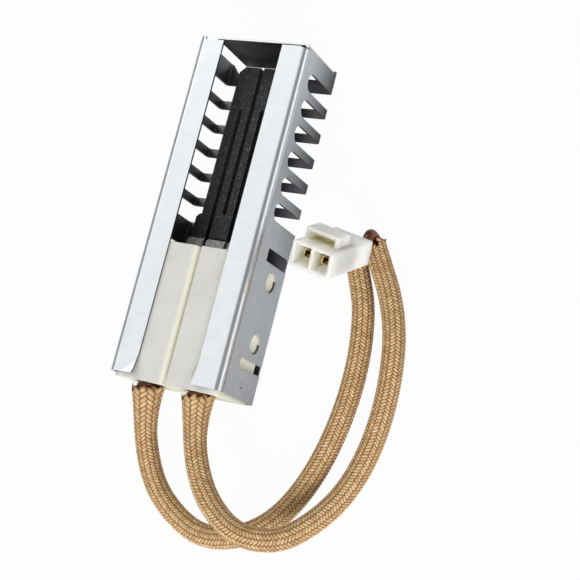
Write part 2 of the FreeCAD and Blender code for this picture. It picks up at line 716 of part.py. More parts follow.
def all_parts():
    """Every sub-part by its name."""
    element = heating_element()
    terminals = [foot_terminal(side) for side in (-1, 1)]
    wires = [exit_wire(side) for side in (-1, 1)]
    parts = {
        "cage": cage(),
        "insulator_block": insulator_block(),
        "heating_element": element,
        "element_cement": element_cement(element, terminals, wires),
        "plug_housing": plug_housing(),
    }
    sides = (
        ("left", -1, LEFT_ROUTE, LEFT_FOLD, LEFT_PLUG_RUN),
        ("right", 1, RIGHT_ROUTE, RIGHT_FOLD, RIGHT_PLUG_RUN),
    )
    for index, (name, side, route, fold, plug_run) in enumerate(sides):
        parts["foot_terminal_" + name] = terminals[index]
        parts["exit_wire_" + name] = wires[index]
        points = lead_route(side, route)
        parts["lead_" + name] = tube_along("lead_" + name, points, LEAD_DIAMETER / 2)
        bare = plug_wire_points(route, side, fold, plug_run)
        parts["plug_wire_" + name] = tube_along("plug_wire_" + name, bare, PLUG_WIRE_RADIUS)
        parts["plug_terminal_" + name] = plug_terminal(side)
    return parts


os.makedirs("parts", exist_ok=True)
for part_name, shape in all_parts().items():
    print(part_name, "solids", len(shape.Solids), "valid", shape.isValid(),
          "volume", round(shape.Volume, 1))
    shape.exportStep("parts/" + part_name + ".step")
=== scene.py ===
import bpy
import math
import random
from mathutils import Euler, Matrix, Vector, noise


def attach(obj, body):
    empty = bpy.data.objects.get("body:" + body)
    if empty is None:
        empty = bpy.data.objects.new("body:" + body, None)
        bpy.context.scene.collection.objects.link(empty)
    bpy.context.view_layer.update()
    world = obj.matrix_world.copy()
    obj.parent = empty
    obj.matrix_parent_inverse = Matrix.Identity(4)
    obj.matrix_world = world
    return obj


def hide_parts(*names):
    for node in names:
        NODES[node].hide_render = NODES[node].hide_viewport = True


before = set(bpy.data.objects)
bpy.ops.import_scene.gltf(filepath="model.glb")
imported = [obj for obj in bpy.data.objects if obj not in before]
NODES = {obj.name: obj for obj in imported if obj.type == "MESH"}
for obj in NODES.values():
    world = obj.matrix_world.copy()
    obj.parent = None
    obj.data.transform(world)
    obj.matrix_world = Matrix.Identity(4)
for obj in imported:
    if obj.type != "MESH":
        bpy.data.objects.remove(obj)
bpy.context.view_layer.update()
SCENE = bpy.context.scene
MM = 0.001
random.seed(7)


def srgb(red, green, blue):
    """Linear colour of an sRGB colour given from 0 to 255."""
    def channel(value):
        value /= 255
        return value / 12.92 if value <= 0.04045 else ((value + 0.055) / 1.055) ** 2.4
    return (channel(red), channel(green), channel(blue), 1.0)


# Camera: its place in millimetres and its three axes

FOCAL_PX = 1420.74
IMAGE_PX = 580
SENSOR_MM = 36
CAMERA_PLACE = (191.2357, -85.6315, 341.3605)
CAMERA_RIGHT = (0.8859379, 0.2419698, -0.3956825)
CAMERA_UP = (-0.1401854, 0.9529232, 0.2688596)
CAMERA_BACK = (0.4421109, -0.1827240, 0.8781514)


def add_camera():
    """Camera at the photograph's place and angle."""
    data = bpy.data.cameras.new("camera")
    data.sensor_fit = "HORIZONTAL"
    data.sensor_width = SENSOR_MM
    data.lens = SENSOR_MM * FOCAL_PX / IMAGE_PX
    data.clip_start = 0.01
    data.clip_end = 20
    camera = bpy.data.objects.new("camera", data)
    SCENE.collection.objects.link(camera)
    columns = (CAMERA_RIGHT, CAMERA_UP, CAMERA_BACK)
    matrix = Matrix.Identity(4)
    for column, axis in enumerate(columns):
        for row in range(3):
            matrix[row][column] = axis[row]
    for row in range(3):
        matrix[row][3] = CAMERA_PLACE[row] * MM
    camera.matrix_world = matrix
    SCENE.camera = camera


add_camera()

# Cords: listed points, and sizes in millimetres

LEFT_ROUTE = [
    (-7.5, -49.3, 14.6), (-7.0, -54.5, 14.0), (-6.0, -64.1, 11.0), (-2.6, -74.5, 6.4),
    (4.6, -81.3, 3.7), (14.4, -85.1, 3.3), (26.0, -82.2, 3.3), (35.1, -74.6, 3.3),
    (41.4, -62.2, 3.3), (45.0, -47.0, 3.3), (45.8, -31.5, 3.3), (43.9, -18.0, 3.3),
    (40.8, -10.2, 3.4), (38.5, -5.2, 3.7),
]
RIGHT_ROUTE = [
    (8.2, -49.3, 14.7), (8.9, -54.5, 14.7), (12.0, -65.0, 15.4), (18.6, -75.4, 16.0),
    (29.0, -82.6, 16.0), (39.8, -81.8, 12.9), (46.4, -75.0, 8.9), (51.2, -66.5, 5.4),
    (54.4, -55.5, 3.6), (55.8, -43.0, 3.3), (55.2, -30.5, 3.3), (53.2, -20.5, 3.3),
    (49.7, -12.0, 3.4), (45.7, -5.2, 3.8), (42.5, 0.8, 5.2),
]
SPLINE_STEPS = 40

# The braid: carriers of each way round, length of one turn, how far its strands lift, how
# quickly they dive, and how much of its own space each strand covers
BRAID_STEP = 0.26
BRAID_CARRIERS = 12
BRAID_COLUMNS = BRAID_CARRIERS // 2
BRAID_PITCH = 10.6
BRAID_RADIUS = 2.66
BRAID_LIFT = 0.17
BRAID_SNAP = 1.8
STRAND_COVER = 1.07
STRAND_THICKNESS = 0.3
STRAND_PROFILE = (-1.0, -0.55, 0.0, 0.55, 1.0)
YARN_SHIFT = 50

# The sleeve's mouth at the block, wide and drawn longer, and its tail at the plug: what is
# cut off at each end, how slanted and uneven the cut is, and where it is turned to
MOUTH_LENGTH = 20.0
MOUTH_SHARE = 0.62
MOUTH_FLARE = 1.6
MOUTH_FLARE_LENGTH = 15.0
MOUTH_CUT = 0.15
MOUTH_OPEN = 1.35
MOUTH_OPEN_POWER = 0.7
MOUTH_UNEVEN = 0.5
TAIL_LENGTH = 3.0
TAIL_FLARE = 0.35
TAIL_CUT = 0.1
TAIL_UNEVEN = 0.6
TAIL_TURN = {"left": 0.0, "right": 2.2}
TAIL_SLANT = {"left": 0.3, "right": 2.3}

# The varnished core, and the loose yarns at a strand's end
CORE_RADIUS = 2.35
CORE_SHORT = 1.5
CORE_SIDES = 28
CORE_SWELL = 0.85
CORE_SWELL_POWER = 0.6
CORE_SWELL_LENGTH = 3.2
CORE_LUMP = 0.25
CORE_LUMP_SCALE = 0.9
YARNS = 4
YARN_RADIUS = 0.1
YARN_STEPS = 4
YARN_SIDES = 3
YARN_TAPER = 0.5
YARN_SPREAD = 0.8
YARN_AT_MOUTH = 0.9
YARN_AT_TAIL = 0.5


def spline_points(name, route):
    """Points of the smooth line whose control points are the route, in millimetres."""
    data = bpy.data.curves.new(name + "_line", "CURVE")
    data.dimensions = "3D"
    spline = data.splines.new("NURBS")
    spline.points.add(len(route) - 1)
    for point, place in zip(spline.points, route):
        point.co = (place[0], place[1], place[2], 1)
    spline.order_u = 3
    spline.use_endpoint_u = True
    spline.resolution_u = SPLINE_STEPS
    line = bpy.data.objects.new(name + "_line", data)
    SCENE.collection.objects.link(line)
    graph = bpy.context.evaluated_depsgraph_get()
    mesh = bpy.data.meshes.new_from_object(line.evaluated_get(graph))
    points = [vertex.co.copy() for vertex in mesh.vertices]
    bpy.data.objects.remove(line)
    bpy.data.curves.remove(data)
    bpy.data.meshes.remove(mesh)
    return points


def evenly_spaced(points, step):
    """The line through the points, again at nearly equal steps."""
    lengths = [0.0]
    for first, second in zip(points, points[1:]):
        lengths.append(lengths[-1] + (second - first).length)
    count = max(2, round(lengths[-1] / step))
    result = []
    index = 0
    for number in range(count + 1):
        target = lengths[-1] * number / count
        while index < len(points) - 2 and lengths[index + 1] < target:
            index += 1
        share = (target - lengths[index]) / (lengths[index + 1] - lengths[index])
        result.append(points[index].lerp(points[index + 1], min(1, max(0, share))))
    return result, lengths[-1]


def carried_frames(points):
    """Tangent and two side directions at each point, carried along without twist."""
    frames = []
    side = None
    for index, point in enumerate(points):
        before = points[max(0, index - 1)]
        after = points[min(len(points) - 1, index + 1)]
        tangent = (after - before).normalized()
        if side is None:
            side = tangent.cross(Vector((0, 0, 1))).normalized()
        side = (side - tangent * side.dot(tangent)).normalized()
        frames.append((point, tangent, side, side.cross(tangent).normalized()))
    return frames


def new_piece(name, vertices, faces, material, uv=None):
    """Smooth mesh piece given in millimetres, that rides on the body."""
    mesh = bpy.data.meshes.new(name)
    mesh.from_pydata([tuple(c * MM for c in vertex) for vertex in vertices], [], faces)
    mesh.update()
    mesh.polygons.foreach_set("use_smooth", [True] * len(mesh.polygons))
    if uv is not None:
        layer = mesh.uv_layers.new(name="yarn")
        height = mesh.uv_layers.new(name="height")
        for loop in mesh.loops:
            along, across, wave = uv[loop.vertex_index]
            layer.data[loop.index].uv = (along, across)
            height.data[loop.index].uv = (wave, 0.0)
    piece = bpy.data.objects.new(name, mesh)
    SCENE.collection.objects.link(piece)
    mesh.materials.append(material)
    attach(piece, "root")
    return piece


def tube_mesh(frames, radii, sides):
    """Vertices and faces of a round tube with closed ends, with a radius at each frame."""
    vertices = []
    faces = []
    for (place, tangent, side, up), radius in zip(frames, radii):
        for number in range(sides):
            angle = 2 * math.pi * number / sides
            vertices.append(place + (side * math.cos(angle) + up * math.sin(angle)) * radius)
    for ring in range(len(frames) - 1):
        for number in range(sides):
            after = (number + 1) % sides
            low = ring * sides
            faces.append((low + number, low + after, low + sides + after, low + sides + number))
    faces.append(tuple(range(sides)))
    last = (len(frames) - 1) * sides
    faces.append(tuple(reversed(range(last, last + sides))))
    return vertices, faces


def wound(distance):
    """How far along the braid's helix a strand is: it is drawn longer at the mouth."""
    if distance >= MOUTH_LENGTH:
        return distance - MOUTH_LENGTH * (1 - MOUTH_SHARE) / 2
    return MOUTH_SHARE * distance + (1 - MOUTH_SHARE) * distance ** 2 / (2 * MOUTH_LENGTH)


def strand_width(distance, length):
    """Width of a strand that just covers the space between it and the next one."""
    turn = min(1.0, MOUTH_SHARE + (1 - MOUTH_SHARE) * distance / MOUTH_LENGTH)
    round_length = 2 * math.pi * sleeve_radius(distance, length)
    slope = math.atan(round_length * turn / BRAID_PITCH)
    return STRAND_COVER * round_length / BRAID_CARRIERS * math.cos(slope)


def sleeve_radius(distance, length):
    """Mean radius of the braid, wider at its mouth and a little at its tail."""
    mouth = max(0.0, 1 - distance / MOUTH_FLARE_LENGTH)
    tail = max(0.0, 1 - (length - distance) / TAIL_LENGTH)
    return BRAID_RADIUS + MOUTH_FLARE * mouth ** 2 + TAIL_FLARE * tail ** 2


def strand_line(frames, length, way, start_angle, first, last):
    """One strand between two frames.

    Each point has its centre, outward direction, distance along the lead, width, and
    how far it lies over (up to 1) or under (down to -1) the other strands.
    """
    line = []
    for index in range(first, last + 1):
        place, tangent, side, up = frames[index]
        distance = length * index / (len(frames) - 1)
        angle = start_angle + way * 2 * math.pi * wound(distance) / BRAID_PITCH
        wave = way * math.tanh(BRAID_SNAP * math.sin(BRAID_COLUMNS * angle))
        radius = sleeve_radius(distance, length) + BRAID_LIFT * wave
        outward = side * math.cos(angle) + up * math.sin(angle)
        width = strand_width(distance, length)
        line.append((place + outward * radius, outward, distance, width, wave))
    return line


def add_strand(line, vertices, faces, uv):
    """Ribbon with a rounded back along a strand's line."""
    count = len(STRAND_PROFILE)
    base = len(vertices)
    shift = random.uniform(0, YARN_SHIFT)
    for index, (centre, outward, distance, width, wave) in enumerate(line):
        before = line[max(0, index - 1)][0]
        after = line[min(len(line) - 1, index + 1)][0]
        across = (after - before).cross(outward).normalized()
        for place in STRAND_PROFILE:
            lift = STRAND_THICKNESS * (1 - place ** 2)
            vertices.append(centre + across * (place * width / 2) + outward * lift)
            uv.append((distance + shift, (place + 1) / 2, wave))
    for index in range(len(line) - 1):
        for number in range(count - 1):
            low = base + index * count + number
            faces.append((low, low + 1, low + count + 1, low + count))


def add_yarn(place, way, bend, size, vertices, faces, uv):
    """Loose end of one yarn: a thin tapered curved thread."""
    base = len(vertices)
    side = way.orthogonal().normalized()
    other = way.cross(side).normalized()
    for step in range(YARN_STEPS + 1):
        share = step / YARN_STEPS
        centre = place + way * (size * share) + bend * (size * share ** 2)
        radius = YARN_RADIUS * (1 - YARN_TAPER * share)
        for number in range(YARN_SIDES):
            angle = 2 * math.pi * number / YARN_SIDES
            vertices.append(centre + (side * math.cos(angle) + other * math.sin(angle)) * radius)
            uv.append((size * share, 0.5, 1.0))
    for step in range(YARN_STEPS):
        for number in range(YARN_SIDES):
            low = base + step * YARN_SIDES
            high = low + YARN_SIDES
            after = (number + 1) % YARN_SIDES
            faces.append((low + number, low + after, high + after, high + number))


def fray(line, at_start, longest, vertices, faces, uv):
    """Loose yarns at a strand's end, spread across its width."""
    ordered = line if at_start else line[::-1]
    end, outward, distance, width, wave = ordered[0]
    way = (end - ordered[min(3, len(ordered) - 1)][0]).normalized()
    across = way.cross(outward).normalized()
    for number in range(YARNS):
        place = (number + 0.5) / YARNS - 0.5
        start = end + across * (place * width * YARN_SPREAD) + outward * STRAND_THICKNESS / 2
        bend = across * random.uniform(-0.5, 0.5) + outward * random.uniform(-0.25, 0.45)
        size = random.uniform(0.3, 1) * longest
        add_yarn(start, way, bend, size, vertices, faces, uv)


def sleeve(name, frames, length):
    """Braided sleeve: two sets of strands wound opposite ways, over two and under two."""
    vertices = []
    faces = []
    uv = []
    spacing = 2 * math.pi / BRAID_CARRIERS
    last_frame = len(frames) - 1
    for way in (1, -1):
        for number in range(BRAID_CARRIERS):
            angle = number * spacing + (0 if way == 1 else spacing / 2)
            raised = max(0.0, math.sin(angle))
            short = MOUTH_CUT + MOUTH_OPEN * raised ** MOUTH_OPEN_POWER
            short += random.uniform(0, MOUTH_UNEVEN)
            at_tail = angle + way * 2 * math.pi * length / BRAID_PITCH
            turned = max(0.0, math.sin(at_tail + TAIL_TURN[name]))
            cut = TAIL_CUT + TAIL_SLANT[name] * turned + random.uniform(0, TAIL_UNEVEN)
            first = round(short / length * last_frame)
            last = last_frame - round(cut / length * last_frame)
            line = strand_line(frames, length, way, angle, first, last)
            add_strand(line, vertices, faces, uv)
            fray(line, True, YARN_AT_MOUTH, vertices, faces, uv)
            fray(line, False, YARN_AT_TAIL, vertices, faces, uv)
    return new_piece("sleeve_" + name, vertices, faces, BRAID, uv)


def core(name, frames, length):
    """Varnished core inside the sleeve, thick and lumpy where it leaves the block."""
    radii = []
    for index, frame_here in enumerate(frames):
        distance = length * index / (len(frames) - 1)
        swell = max(0.0, 1 - distance / CORE_SWELL_LENGTH)
        lump = noise.noise(frame_here[0] * CORE_LUMP_SCALE) * CORE_LUMP * swell
        radii.append(CORE_RADIUS + CORE_SWELL * swell ** CORE_SWELL_POWER + lump)
    inner = frames[:len(frames) - round(CORE_SHORT / BRAID_STEP)]
    vertices, faces = tube_mesh(inner, radii, CORE_SIDES)
    return new_piece("core_" + name, vertices, faces, VARNISH)


def lead(name, route):
    """One lead: its core and its sleeve on the smooth line."""
    points, length = evenly_spaced(spline_points(name, route), BRAID_STEP)
    frames = carried_frames(points)
    piece = sleeve(name, frames, length)
    inside = core(name, frames, length)
    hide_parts("lead_" + name)


# Materials

# Height of the middle of the cage, in millimetres
CAGE_MIDDLE = 10.4


def principled(name, colour, roughness=0.5, metallic=0.0):
    """Principled material, with its tree and its shader."""
    material = bpy.data.materials.new(name)
    material.use_nodes = True
    tree = material.node_tree
    shader = tree.nodes["Principled BSDF"]
    shader.inputs["Base Color"].default_value = colour
    shader.inputs["Roughness"].default_value = roughness
    shader.inputs["Metallic"].default_value = metallic
    return material, tree, shader


def node(tree, kind, values=None, **settings):
    """New node of a kind with its settings, and values or links for its inputs."""
    made = tree.nodes.new(kind)
    for key, value in settings.items():
        setattr(made, key, value)
    for key, value in (values or {}).items():
        if isinstance(value, bpy.types.NodeSocket):
            tree.links.new(value, made.inputs[key])
        else:
            made.inputs[key].default_value = value
    return made


def math_node(tree, operation, first, second=0.0, third=0.0):
    """Result of one operation on values or links."""
    made = node(tree, "ShaderNodeMath", {0: first, 1: second, 2: third}, operation=operation)
    return made.outputs[0]


def grain(tree, place, scale, detail=4.0, roughness=0.6):
    """Noise between 0 and 1 at a place."""
    made = node(tree, "ShaderNodeTexNoise", {
        "Vector": place, "Scale": scale, "Detail": detail, "Roughness": roughness,
    })
    return made.outputs["Fac"]


def spread(tree, value, low, high, to_low=0.0, to_high=1.0):
    """The value mapped from one range to another and held inside it."""
    made = node(tree, "ShaderNodeMapRange", {
        "Value": value, "From Min": low, "From Max": high, "To Min": to_low, "To Max": to_high,
    })
    return made.outputs["Result"]


def blend(tree, share, first, second):
    """Colour between two, by a share."""
    made = node(tree, "ShaderNodeMix", {0: share, 6: first, 7: second}, data_type="RGBA")
    return made.outputs[2]


def bump(tree, height, distance, strength=1.0, edge=None):
    """Normal changed by a height, over softened edges where a radius is given."""
    values = {"Height": height, "Distance": distance, "Strength": strength}
    if edge is not None:
        soft = node(tree, "ShaderNodeBevel", {"Radius": edge}, samples=4)
        values["Normal"] = soft.outputs["Normal"]
    return node(tree, "ShaderNodeBump", values).outputs["Normal"]


def braid_material():
    """Varnished glass yarn: yarn stripes in each strand, with painted shade in the yarn grooves,
    at the strand edges and where a strand dives under.
    """
    pale, tan = srgb(228, 195, 146), srgb(186, 147, 98)
    yarn_groove_shade, strand_edge_shade, dive_shade = srgb(140, 98, 54), srgb(120, 80, 42), srgb(96, 54, 20)
    material, tree, shader = principled("braid", tan, 0.42)
    yarn = node(tree, "ShaderNodeUVMap", uv_map="yarn").outputs[0]
    place = node(tree, "ShaderNodeSeparateXYZ", {0: yarn})
    along, across = place.outputs[0], place.outputs[1]
    twist = math_node(tree, "MULTIPLY_ADD", across, 5.0, math_node(tree, "MULTIPLY", along, 0.9))
    wave = math_node(tree, "SINE", math_node(tree, "MULTIPLY", twist, math.pi))
    ridge = math_node(tree, "ABSOLUTE", wave)
    edge = math_node(tree, "ABSOLUTE", math_node(tree, "SUBTRACT", across, 0.5))
    stretched = node(tree, "ShaderNodeMapping", {"Vector": yarn, "Scale": (0.35, 0.8, 1)})
    patches = spread(tree, grain(tree, stretched.outputs[0], 1.0), 0.35, 0.65)
    over = node(tree, "ShaderNodeUVMap", uv_map="height").outputs[0]
    over = node(tree, "ShaderNodeSeparateXYZ", {0: over}).outputs[0]
    base = blend(tree, patches, tan, pale)
    # Painted shade: the grooves between the yarns are darkened.
    base = blend(tree, spread(tree, ridge, 0.5, 0.0, 0.0, 0.25), base, yarn_groove_shade)
    # Painted shadow: each strand is darkened along its edges, where it meets its neighbours.
    base = blend(tree, spread(tree, edge, 0.3, 0.5, 0.0, 0.6), base, strand_edge_shade)
    # Painted shade: a strand is darkened where it dives under the crossing strands.
    base = blend(tree, spread(tree, over, 0.6, 0.0, 0.0, 0.9), base, dive_shade)
    tree.links.new(base, shader.inputs["Base Color"])
    tree.links.new(bump(tree, ridge, 0.00006, 0.7), shader.inputs["Normal"])
    shader.inputs["Specular IOR Level"].default_value = 0.3
    shader.inputs["Coat Weight"].default_value = 0.12
    shader.inputs["Coat Roughness"].default_value = 0.3
    return material


def varnish_material():
    """Thick glossy brown varnish, cloudy and a little lumpy."""
    dark, amber = srgb(72, 26, 6), srgb(128, 60, 18)
    material, tree, shader = principled("varnish", dark, 0.22)
    place = node(tree, "ShaderNodeTexCoord").outputs["Object"]
    cloudy = spread(tree, grain(tree, place, 900.0, 3.0), 0.35, 0.7)
    tree.links.new(blend(tree, cloudy, dark, amber), shader.inputs["Base Color"])
    lumps = grain(tree, place, 700.0, 2.0)
    tree.links.new(bump(tree, lumps, 0.0002, 0.6), shader.inputs["Normal"])
    shader.inputs["Specular IOR Level"].default_value = 0.25
    shader.inputs["Coat Weight"].default_value = 0.4
    shader.inputs["Coat Roughness"].default_value = 0.06
    return material


def cage_inside(tree, place, facing):
    """1 on the sheet's inner faces and 0 on its outer ones."""
    middle = CAGE_MIDDLE * MM
    across = math_node(tree, "MULTIPLY", place.outputs[0], facing.outputs[0])
    height = math_node(tree, "SUBTRACT", place.outputs[2], middle)
    outward = math_node(tree, "MULTIPLY_ADD", height, facing.outputs[2], across)
    endwise = math_node(tree, "MULTIPLY", place.outputs[1], facing.outputs[1])
    return spread(tree, math_node(tree, "ADD", outward, endwise), MM, -MM)


def cage_colour(tree, place, facing, inside, grime):
    """Plated sheet's colour with painted shade: its front, its sides painted darker, its low
    fingers toward the hot end painted darker still, its inside painted darker.
    """
    aside = math_node(tree, "ABSOLUTE", facing.outputs[0])
    sideways = spread(tree, aside, 0.8, 0.99)
    front = blend(tree, spread(tree, grime, 0.3, 0.8), srgb(221, 224, 226), srgb(213, 216, 219))
    # Painted shade: the sides take a darker copy of the front's tone.
    side = blend(tree, spread(tree, grime, 0.3, 0.75), srgb(205, 208, 212), srgb(190, 194, 199))
    # Painted shade: low on the sides toward the tip, the sheet goes dark.
    raised = spread(tree, place.outputs[2], 0.001, 0.016)
    shaded_finger = blend(tree, raised, srgb(84, 87, 90), srgb(206, 210, 214))
    side = blend(tree, spread(tree, place.outputs[1], -0.01, 0.012), side, shaded_finger)
    outer = blend(tree, sideways, front, side)
    # Painted shade: the inner faces take darker tones, still varied by the grime.
    inner = blend(tree, spread(tree, grime, 0.3, 0.7), srgb(112, 114, 118), srgb(80, 82, 86))
    inner = blend(tree, sideways, inner, srgb(134, 136, 139))
    return blend(tree, inside, outer, inner)


def cage_roughness(tree, facing, inside, streaks):
    """Fine streaks, rougher on the bends and on the inside."""
    aside = math_node(tree, "ABSOLUTE", facing.outputs[0])
    leaning = spread(tree, aside, 0.1, 0.4)
    not_flat = spread(tree, aside, 0.995, 0.93)
    bent = math_node(tree, "MULTIPLY", leaning, not_flat)
    rough = spread(tree, streaks, 0.3, 0.7, 0.17, 0.24)
    rough = math_node(tree, "MULTIPLY_ADD", inside, 0.16, rough)
    return math_node(tree, "MULTIPLY_ADD", bent, 0.17, rough)


def cage_material():
    """Plated sheet: clean outside, with painted shade darker inside and low on its sides toward
    its hot end; duller inside.
    """
    material, tree, shader = principled("cage_metal", srgb(214, 217, 221), 0.25, 1.0)
    coord = node(tree, "ShaderNodeTexCoord")
    where = coord.outputs["Object"]
    place = node(tree, "ShaderNodeSeparateXYZ", {0: where})
    facing = node(tree, "ShaderNodeSeparateXYZ", {0: coord.outputs["Normal"]})
    inside = cage_inside(tree, place, facing)
    grime = grain(tree, where, 260.0, 6.0)
    brushed = node(tree, "ShaderNodeMapping", {"Vector": where, "Scale": (1, 14, 1)})
    streaks = grain(tree, brushed.outputs[0], 380.0, 3.0)
    tree.links.new(cage_colour(tree, place, facing, inside, grime), shader.inputs["Base Color"])
    tree.links.new(cage_roughness(tree, facing, inside, streaks), shader.inputs["Roughness"])
    tree.links.new(bump(tree, grime, 0.00002, 0.25), shader.inputs["Normal"])
    return material


def ceramic_material():
    """Fired block: fine pores and faint mottling, with painted light giving the faces that turn
    away a brighter, warmer cream tone.
    """
    pale, warm, pore = srgb(209, 208, 204), srgb(199, 197, 190), srgb(170, 164, 150)
    cream = srgb(238, 238, 218)
    material, tree, shader = principled("block_ceramic", pale, 0.62)
    coord = node(tree, "ShaderNodeTexCoord")
    place = coord.outputs["Object"]
    mottle = spread(tree, grain(tree, place, 130.0, 5.0), 0.3, 0.75)
    specks = spread(tree, grain(tree, place, 1500.0, 2.0), 0.68, 0.78, 0.0, 0.35)
    facing = node(tree, "ShaderNodeSeparateXYZ", {0: coord.outputs["Normal"]})
    # Painted light and shade: faces turning away from the front get the cream tone.
    turned_away_shading = spread(tree, facing.outputs[2], 0.97, 0.6, 0.0, 0.85)
    base = blend(tree, mottle, pale, warm)
    base = blend(tree, specks, base, pore)
    base = blend(tree, turned_away_shading, base, cream)
    tree.links.new(base, shader.inputs["Base Color"])
    rough = grain(tree, place, 1300.0, 4.0, 0.7)
    tree.links.new(bump(tree, rough, 0.00008, 0.5, 0.0003), shader.inputs["Normal"])
    return material


def carbide_material():
    """Dark carbide: coarse grain, with painted glints as bright specks in its colour."""
    black, grey, glint_speck = srgb(10, 10, 11), srgb(46, 46, 48), srgb(128, 130, 134)
    material, tree, shader = principled("element_carbide", grey, 0.6)
    place = node(tree, "ShaderNodeTexCoord").outputs["Object"]
    coarse = grain(tree, place, 1300.0, 5.0, 0.75)
    fine = grain(tree, place, 2400.0, 2.0)
    base = blend(tree, spread(tree, coarse, 0.35, 0.68), black, grey)
    # Painted glints: bright specks in the colour, where the roughness is also lower.
    base = blend(tree, spread(tree, fine, 0.61, 0.72, 0.0, 0.6), base, glint_speck)
    tree.links.new(base, shader.inputs["Base Color"])
    tree.links.new(spread(tree, fine, 0.4, 0.75, 0.75, 0.35), shader.inputs["Roughness"])
    tree.links.new(bump(tree, coarse, 0.00018, 0.8, 0.00015), shader.inputs["Normal"])
    return material


def cement_material():
    """Grey refractory cement: granular, with pale and dark grains."""
    dark, light, grains = srgb(138, 138, 136), srgb(206, 206, 203), srgb(228, 228, 226)
    material, tree, shader = principled("cement", light, 0.9)
    place = node(tree, "ShaderNodeTexCoord").outputs["Object"]
    coarse = grain(tree, place, 700.0, 6.0, 0.7)
    fine = grain(tree, place, 3200.0, 2.0)
    base = blend(tree, spread(tree, coarse, 0.3, 0.7), dark, light)
    base = blend(tree, spread(tree, fine, 0.62, 0.74, 0.0, 0.6), base, grains)
    tree.links.new(base, shader.inputs["Base Color"])
    tree.links.new(bump(tree, coarse, 0.0005, 0.9), shader.inputs["Normal"])
    return material


def plastic_material():
    """Moulded off-white plastic, a little translucent, with painted shade that turns it beige down
    in its sockets and other hollows.
    """
    white, cream, socket_shade = srgb(252, 251, 244), srgb(248, 246, 236), srgb(244, 232, 186)
    material, tree, shader = principled("plug_plastic", white, 0.38)
    place = node(tree, "ShaderNodeTexCoord").outputs["Object"]
    cloudy = spread(tree, grain(tree, place, 160.0, 4.0), 0.3, 0.7)
    closed = node(tree, "ShaderNodeAmbientOcclusion", {"Distance": 0.005}, samples=8)
    base = blend(tree, cloudy, white, cream)
    # Painted shade: ambient occlusion picks out the hollows, which get the beige tone.
    base = blend(tree, spread(tree, closed.outputs["AO"], 0.7, 0.2, 0.0, 0.9), base, socket_shade)
    tree.links.new(base, shader.inputs["Base Color"])
    skin = grain(tree, place, 1800.0, 3.0)
    tree.links.new(bump(tree, skin, 0.00003, 0.4, 0.0003), shader.inputs["Normal"])
    shader.inputs["Subsurface Weight"].default_value = 1.0
    shader.inputs["Subsurface Radius"].default_value = (0.006, 0.006, 0.006)
    shader.inputs["Subsurface Scale"].default_value = 1.0
    return material


def brass_material():
    """Rolled contact brass with faint tarnish."""
    bright, tarnish = srgb(220, 198, 140), srgb(168, 138, 84)
    material, tree, shader = principled("contact_brass", bright, 0.3, 1.0)
    place = node(tree, "ShaderNodeTexCoord").outputs["Object"]
    stain = grain(tree, place, 600.0, 5.0)
    base = blend(tree, spread(tree, stain, 0.3, 0.7), bright, tarnish)
    tree.links.new(base, shader.inputs["Base Color"])
    tree.links.new(bump(tree, stain, 0.00003, 0.5, 0.00005), shader.inputs["Normal"])
    return material


BRAID = braid_material()
VARNISH = varnish_material()
CAGE = cage_material()
CERAMIC = ceramic_material()
CARBIDE = carbide_material()
CEMENT = cement_material()
PLASTIC = plastic_material()
BRASS = brass_material()

lead("left", LEFT_ROUTE)
lead("right", RIGHT_ROUTE)

# Contact springs in the plug, with sizes in millimetres and angles in degrees

# The plug's rear end in the part's frame, and the way that the plug is turned
PLUG_REAR = (39.9, -3.1, 12.6)
PLUG_TURN = -12.7
PLUG_TILT = 28.8
SOCKET_PITCH = 5.5
SPRING_MOUTH = 16.2
SPRING_LENGTH = 4.0
SPRING_RISE = 0.65
SPRING_WIDTH = 1.9
SPRING_THICKNESS = 0.12
SPRING_STEPS = 12


def plug_place(x, y, z):
    """Place in the part's frame, in millimetres, of a point in the plug's own frame."""
    point = Vector((x, y, z))
    point.rotate(Euler((math.radians(PLUG_TILT), 0, 0)))
    point.rotate(Euler((0, 0, math.radians(PLUG_TURN))))
    return Vector(PLUG_REAR) + point


def contact_spring(name, side):
    """Springy tongue inside one contact: a strip folded back from its mouth."""
    vertices = []
    faces = []
    for step in range(SPRING_STEPS + 1):
        share = step / SPRING_STEPS
        depth = SPRING_MOUTH - SPRING_LENGTH * share
        height = -SPRING_RISE + 2 * SPRING_RISE * math.sin(share * math.pi / 2)
        for across in (-0.5, 0.5):
            x = side * SOCKET_PITCH / 2 + across * SPRING_WIDTH
            for lift in (0.0, SPRING_THICKNESS):
                vertices.append(plug_place(x, height + lift, depth))
    for step in range(SPRING_STEPS):
        low = step * 4
        for first, second in ((0, 2), (3, 1), (1, 0), (2, 3)):
            faces.append((low + first, low + second, low + 4 + second, low + 4 + first))
    faces.append((1, 3, 2, 0))
    end = SPRING_STEPS * 4
    faces.append((end, end + 2, end + 3, end + 1))
    piece = new_piece("contact_spring_" + name, vertices, faces, BRASS)


contact_spring("left", -1)
contact_spring("right", 1)

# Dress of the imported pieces, with an angle in degrees and a distance in millimetres

SHARP_ANGLE = 25
WELD_DISTANCE = 0.002


